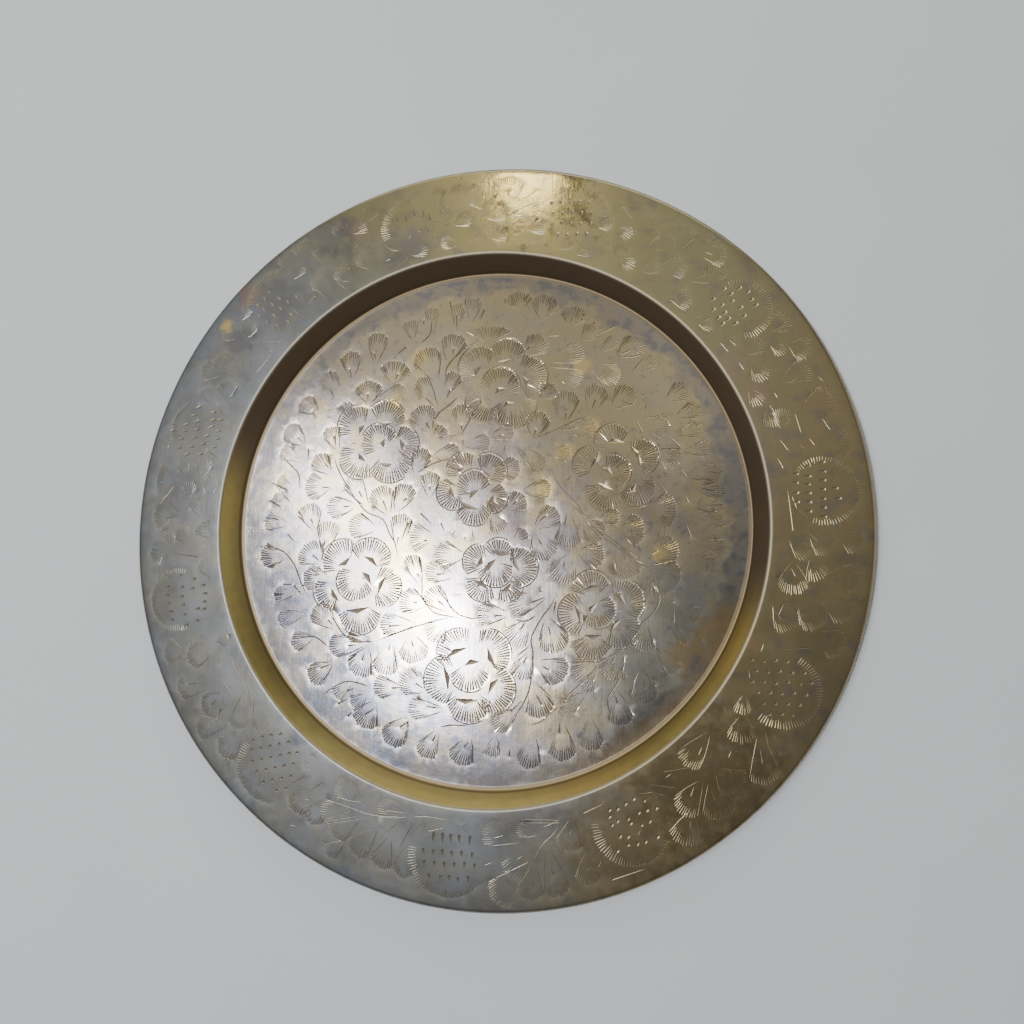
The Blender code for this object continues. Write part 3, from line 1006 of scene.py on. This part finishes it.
# Colours of the metal, and of the painted shade, glints and reflection on it, as linear red, green and
# blue.
TAN = (0.52, 0.43, 0.29)
LAVENDER = (0.41, 0.365, 0.37)
OLIVE_TAN = (0.46, 0.38, 0.21)
GREY_OLIVE = (0.42, 0.4, 0.32)
BLUE_PURPLE = (0.15, 0.165, 0.215)
PEWTER = (0.295, 0.29, 0.265)
SLATE = (0.22, 0.21, 0.215)
# Gold for painted glints on the cuts.
GOLD_GLINT = (0.80, 0.60, 0.24)
GOLD_BROWN = (0.48, 0.34, 0.17)
DULL_PURPLE = (0.27, 0.225, 0.225)
PINK_BROWN = (0.44, 0.31, 0.23)
SILVER = (0.3, 0.31, 0.32)
OLIVE_YELLOW = (0.38, 0.335, 0.17)
UMBER = (0.235, 0.175, 0.09)
# Painted shade for the bend at the foot of the wall.
FOOT_SHADE = (0.2, 0.15, 0.085)
OLIVE_BROWN = (0.38, 0.305, 0.165)
# Painted shade for the wall's upper side.
SHADED_WALL_BROWN = (0.27, 0.205, 0.15)
WALL_GOLD = (0.85, 0.72, 0.24)
POLISHED = (0.29, 0.26, 0.19)
DIRT = (0.29, 0.225, 0.165)
FRESH_CUT = (0.33, 0.285, 0.18)
BARE_IRON = (0.17, 0.16, 0.155)
RUST = (0.16, 0.075, 0.035)

# The studio.
PALE = (0.74, 0.77, 0.80)
PALER = (0.79, 0.815, 0.84)
STUDIO_HALF_WIDTH = 4.0
SKY = (0.86, 0.92, 1.0)
SKY_STRENGTH = 0.13


# Rings of the plate, as the radii where each one starts, is full, ends and is gone.
FLOOR_RIM = (99, 106, 112.4, 113.2)
FOOT = (106.0, 107.0, 108.4, 109.0)
WALL = (107.2, 107.8, 112.4, 113.2)
CREST = (112.2, 112.7, 113.3, 114.0)
FLANGE_START = (112.2, 113.6)

# Stains: (x, y, size, colour, strength). The paler gold ones are painted glints on the cuts.
STAINS_AND_GLINTS = [
    (-70, 124, 12, SLATE, 0.6), (-62, 128, 7, SLATE, 0.5), (-110, 78, 8, SLATE, 0.75),
    (-92, 96, 14, SLATE, 0.5), (-35, 118, 14, SLATE, 0.6), (-130, 12, 14, SLATE, 0.5),
    (-57, 127, 5, PINK_BROWN, 0.6), (100, 63, 9, PINK_BROWN, 0.45), (108, 50, 7, PINK_BROWN, 0.45),
    (-47, -75, 12, BLUE_PURPLE, 0.8), (-70, -80, 14, BLUE_PURPLE, 0.7), (-40, -97, 12, BLUE_PURPLE, 0.8),
    (-107, 100, 8, PINK_BROWN, 0.6), (97, -45, 16, GOLD_BROWN, 0.8), (80, -52, 9, GOLD_BROWN, 0.7),
    (20, -103, 24, SLATE, 0.6), (100, 20, 20, SLATE, 0.5), (-116, 86, 4, GOLD_GLINT, 0.8),
    (40, 66, 5, GOLD_GLINT, 0.7), (33, 30, 6, GOLD_GLINT, 0.6), (25, 14, 6, GOLD_GLINT, 0.7), (-31, 72, 5, GOLD_GLINT, 0.6),
    (-40, 53, 4, GOLD_GLINT, 0.7), (72, -13, 5, GOLD_GLINT, 0.7), (45, 40, 5, GOLD_GLINT, 0.5),
    (85, -98, 36, UMBER, 0.75), (58, -122, 26, UMBER, 0.5),
    (8, 5, 13, DULL_PURPLE, 0.55), (17, -6, 8, DULL_PURPLE, 0.5), (-95, 25, 9, BLUE_PURPLE, 0.5),
]


class Zones:
    """Masks from 0 to 1: where each part of the plate is, and where its cuts are."""

    def __init__(self, paint):
        self.radius = paint.away(0, 0)
        self.ragged = paint.noise(5, 6, 2.2)
        self.flange = paint.step(self.radius, *FLANGE_START)
        self.floor_rim = paint.band(self.radius, *FLOOR_RIM)
        self.wall = paint.band(self.radius, *WALL)
        self.foot = paint.band(self.radius, *FOOT)
        self.crest = paint.band(self.radius, *CREST)
        # The plate's upper side: there the wall is painted in shade, and away from it the floor's rim
        # takes a painted reflection of the gold wall.
        self.shaded_side = paint.step(paint.slant(0.25, 1), -25, 15)
        cut = paint.add("ShaderNodeAttribute", attribute_name="cut").outputs["Fac"]
        self.fresh = paint.product(paint.step(cut, 0.1, 0.6), self.flange, 0.75)
        self.dirt = self.dirty_cuts(paint, cut)

    def dirty_cuts(self, paint, cut):
        """Dirt in cuts: most in mid-floor, and in deep cuts except at the flange's right."""
        middle = paint.step(paint.away(-18, -28), 98, 45)
        shallow = paint.product(paint.step(cut, 0.25, 0.9), paint.fade(middle, 0.15, 0.9))
        bright_side = paint.product(self.flange, paint.step(paint.x, 0, 50))
        deep = paint.product(paint.step(cut, 2.0, 3.0), paint.fade(bright_side, 0.85, 0))
        return paint.math("MAXIMUM", shallow, deep)


def floor_colour(paint, zones):
    cloud = paint.step(paint.noise(15, 6, 1.3), 0.42, 0.57)
    mottle = paint.step(paint.noise(5.5, 6, 9.1), 0.47, 0.62)
    colour = paint.mix(cloud, TAN, LAVENDER)
    upper = paint.step(paint.slant(0.5, 1), 0, 70)
    colour = paint.mix(paint.product(upper, 0.75), colour, OLIVE_TAN)
    right = paint.product(paint.step(paint.x, 10, 80), paint.step(paint.y, 10, -50))
    colour = paint.mix(paint.product(right, 0.8), colour, GREY_OLIVE)
    low = paint.product(paint.step(paint.slant(1, 1), -55, -100), paint.fade(mottle, 0.62, 1.0))
    colour = paint.mix(paint.product(low, 0.95), colour, BLUE_PURPLE)
    ragged_radius = paint.math("ADD", zones.radius, paint.fade(paint.noise(9, 6, 4.4), -9, 9))
    ring = paint.step(ragged_radius, 97, 101)
    colour = paint.mix(paint.product(ring, paint.fade(mottle, 0.5, 0.9)), colour, SLATE)
    flecks = paint.step(paint.noise(3.2, 6, 12.4), 0.56, 0.68)
    return paint.mix(paint.product(flecks, 0.45), colour, SLATE)


def flange_colour(paint):
    cloud = paint.step(paint.noise(20, 6, 5.5), 0.38, 0.62)
    colour = paint.mix(cloud, SILVER, PEWTER)
    # Olive-yellow towards the top: painted reflection of the light above the plate.
    top = paint.step(paint.slant(0.5, 1), 40, 120)
    colour = paint.mix(paint.product(top, 0.85), colour, OLIVE_YELLOW)
    # Darker olive-brown towards the right: painted reflection of the darker surroundings on that side.
    right = paint.step(paint.slant(1, -0.4), 50, 125)
    colour = paint.mix(right, colour, OLIVE_BROWN)
    patches = paint.step(paint.noise(7, 6, 15.2), 0.5, 0.66)
    return paint.mix(paint.product(patches, 0.38), colour, SLATE)


def stains_and_painted_light(paint, zones):
    """The floor and the flange with their stains and specks, painted glints and a painted reflection of
    the gold wall on the floor's rim.
    """
    colour = paint.mix(zones.flange, floor_colour(paint, zones), flange_colour(paint))
    # Stains, and gold spots that are painted glints.
    for x, y, size, tint, strength in STAINS_AND_GLINTS:
        mark = paint.product(paint.blot(x, y, size, zones.ragged), strength)
        colour = paint.mix(mark, colour, tint)
    specks = paint.step(paint.noise(1.6, 4, 6.6), 0.55, 0.75)
    colour = paint.mix(paint.product(specks, 0.35), colour, GOLD_BROWN)
    # A gold-brown tint on the floor's rim at the lower right, beside the bright part of the wall: painted
    # reflection of the gold wall.
    wall_reflection = paint.product(zones.floor_rim, paint.fade(zones.shaded_side, 0.5, 0), paint.step(paint.x, 0, 60))
    wall_reflection = paint.product(wall_reflection, paint.fade(zones.ragged, 0.4, 1.4))
    return paint.mix(wall_reflection, colour, GOLD_BROWN)


def wall_colour(paint, zones):
    """Bright gold round the lower side, and brown above, which is painted shade; towards its foot the
    gold is darkened with painted shade in the bend.
    """
    worn_and_shaded = paint.mix(paint.fade(paint.noise(5, 5, 10.8), 0, 0.6), WALL_GOLD, GOLD_BROWN)
    # Umber towards the wall's foot: painted shade in the bend down to the floor.
    lower = paint.step(zones.radius, 111.6, 109.0)
    worn_and_shaded = paint.mix(paint.product(lower, 0.4), worn_and_shaded, UMBER)
    # Brown over the upper side: painted shade.
    return paint.mix(zones.shaded_side, worn_and_shaded, SHADED_WALL_BROWN)


def brass_colour(paint, zones):
    colour = paint.mix(zones.wall, stains_and_painted_light(paint, zones), wall_colour(paint, zones))
    # A dark band round the foot of the wall: painted shade in the bend between floor and wall.
    colour = paint.mix(paint.product(zones.foot, 0.8), colour, FOOT_SHADE)
    colour = paint.mix(paint.product(zones.crest, 0.7), colour, POLISHED)
    colour = paint.mix(zones.fresh, colour, FRESH_CUT)
    return paint.mix(zones.dirt, colour, DIRT)


def brass_roughness(paint, zones):
    cloudy = paint.noise(15, 5, 7.7)
    rough = paint.fade(cloudy, 0.165, 0.27)
    rough = paint.mix_value(zones.flange, rough, paint.fade(cloudy, 0.25, 0.42))
    rough = paint.mix_value(paint.blot(20, 143, 34, zones.ragged), rough, 0.15)
    rough = paint.mix_value(zones.wall, rough, 0.4)
    rough = paint.mix_value(zones.foot, rough, 0.5)
    rough = paint.mix_value(zones.crest, rough, 0.52)
    rough = paint.mix_value(zones.fresh, rough, 0.5)
    return paint.mix_value(zones.dirt, rough, 0.5)


def brass():
    paint = Paint("engraved_brass")
    zones = Zones(paint)
    grain = paint.fade(paint.noise(0.8, 3, 3.3), 0, 0.008)
    scratches = paint.fade(paint.noise(1.1, 2, 8.8, stretch=(1.0, 0.08, 1.0)), 0, 0.012)
    planish = paint.fade(paint.noise(9, 3, 13.7), 0, 0.06)
    paint.bump(paint.math("ADD", planish, paint.math("ADD", grain, scratches)), 1.0)
    return paint.finish(brass_colour(paint, zones), brass_roughness(paint, zones), 0.92)


def iron():
    paint = Paint("drawn_iron")
    rust = paint.step(paint.noise(2.5, 5, 1.1), 0.42, 0.68)
    paint.bump(paint.noise(0.6, 3, 2.4), 0.03)
    return paint.finish(paint.mix(rust, BARE_IRON, RUST), paint.fade(rust, 0.42, 0.8), 0.85)


def backdrop():
    paint = Paint("pale_floor")
    tone = paint.mix(paint.noise(60, 3, 4.1), PALE, PALER)
    return paint.finish(tone, 0.85, 0.0)


def make_floor():
    mesh = bpy.data.meshes.new("studio_floor")
    half = STUDIO_HALF_WIDTH
    corners = [(-half, -half, 0), (half, -half, 0), (half, half, 0), (-half, half, 0)]
    mesh.from_pydata(corners, [], [(0, 1, 2, 3)])
    mesh.materials.append(backdrop())
    floor = bpy.data.objects.new("studio_floor", mesh)
    bpy.context.scene.collection.objects.link(floor)
    floor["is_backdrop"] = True


LIGHT_DISTANCE = 1.2

# Soft lights: direction from the plate, direction of the first side, that side's length and
# the other's in metres, power in watts and colour.
LIGHTS = {
    "key": ((-0.085, 0.69, 0.71), (1, 0, 0), 0.13, 0.1, 0.62, (1.0, 0.84, 0.47)),
    "glare": ((-0.375, 0.08, 0.925), (0.69, -0.72, 0.22), 0.3, 0.13, 2.9, (1.0, 0.99, 0.97)),
    "glare_core": ((-0.265, -0.08, 0.96), (0.69, -0.72, 0.22), 0.14, 0.08, 6.5, (1.0, 1.0, 1.0)),
    "left_sky": ((-0.5, 0.3, 0.8), (0, 1, 0), 0.8, 0.8, 0.5, (0.93, 0.96, 1.0)),
    "low_sky": ((-0.35, -0.4, 0.85), (1, 0, 0), 0.7, 0.7, 0.08, (0.9, 0.95, 1.0)),
    "upper_sky": ((-0.05, 0.4, 0.9), (1, 0, 0), 0.7, 0.5, 0.42, (1.0, 0.98, 0.93)),
    "right_sky": ((0.35, 0.35, 0.87), (1, 0, 0), 0.7, 0.7, 0.44, (1.0, 0.97, 0.9)),
    "right_panel": ((1.0, 0.15, 0.25), (0, 1, 0), 0.9, 0.35, 0.7, (1.0, 0.96, 0.88)),
    "top_panel": ((0.0, 1.0, 0.42), (1, 0, 0), 1.2, 0.4, 3.6, (1.0, 0.97, 0.92)),
}


def aim(place, first_side):
    """The rotation of a light that faces the plate, with its first side along a direction."""
    back = place.normalized()
    side = (first_side - back * back.dot(first_side)).normalized()
    return Matrix((side, back.cross(side), back)).transposed().to_euler()


def make_light(name, direction, first_side, width, height, power, colour):
    lamp = bpy.data.lights.new(name, "AREA")
    lamp.shape = "RECTANGLE"
    lamp.size = width
    lamp.size_y = height
    lamp.energy = power
    lamp.color = colour
    light = bpy.data.objects.new(name, lamp)
    place = Vector(direction).normalized() * LIGHT_DISTANCE
    light.location = place
    light.rotation_euler = aim(place, Vector(first_side))
    light.visible_camera = False
    bpy.context.scene.collection.objects.link(light)


def make_world():
    world = bpy.data.worlds.new("studio")
    world.use_nodes = True
    background = world.node_tree.nodes["Background"]
    background.inputs["Color"].default_value = (*SKY, 1.0)
    background.inputs["Strength"].default_value = SKY_STRENGTH
    bpy.context.scene.world = world


# The camera stands a little to the lower right of the plate's axis, as the photo's did.
CAMERA_PLACE = (58.3, -32.8, 315.2)
CAMERA_TILT = math.radians(6.73)
CAMERA_TURN = math.radians(8.44)
CAMERA_LENS = 27.07
CAMERA_SENSOR = 36
CAMERA_NEAR = 0.01


def make_camera():
    data = bpy.data.cameras.new("camera")
    data.lens = CAMERA_LENS
    data.sensor_width = CAMERA_SENSOR
    data.clip_start = CAMERA_NEAR
    camera = bpy.data.objects.new("camera", data)
    turn = Matrix.Rotation(CAMERA_TILT, 4, "X") @ Matrix.Rotation(CAMERA_TURN, 4, "Y")
    camera.matrix_world = Matrix.Translation(Vector(CAMERA_PLACE) * MM) @ turn
    bpy.context.scene.collection.objects.link(camera)
    bpy.context.scene.camera = camera


def dress_wire(material):
    wire = bpy.data.objects["rim_wire"]
    wire.data.materials.clear()
    wire.data.materials.append(material)


def write_sizes():
    boxes = {"cad": cad_box, "visual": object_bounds()}
    plain = {name: [list(corner) for corner in box] for name, box in boxes.items()}


make_plate(brass())
dress_wire(iron())
make_floor()
for light_name, light_row in LIGHTS.items():
    make_light(light_name, *light_row)
make_world()
make_camera()
write_sizes()
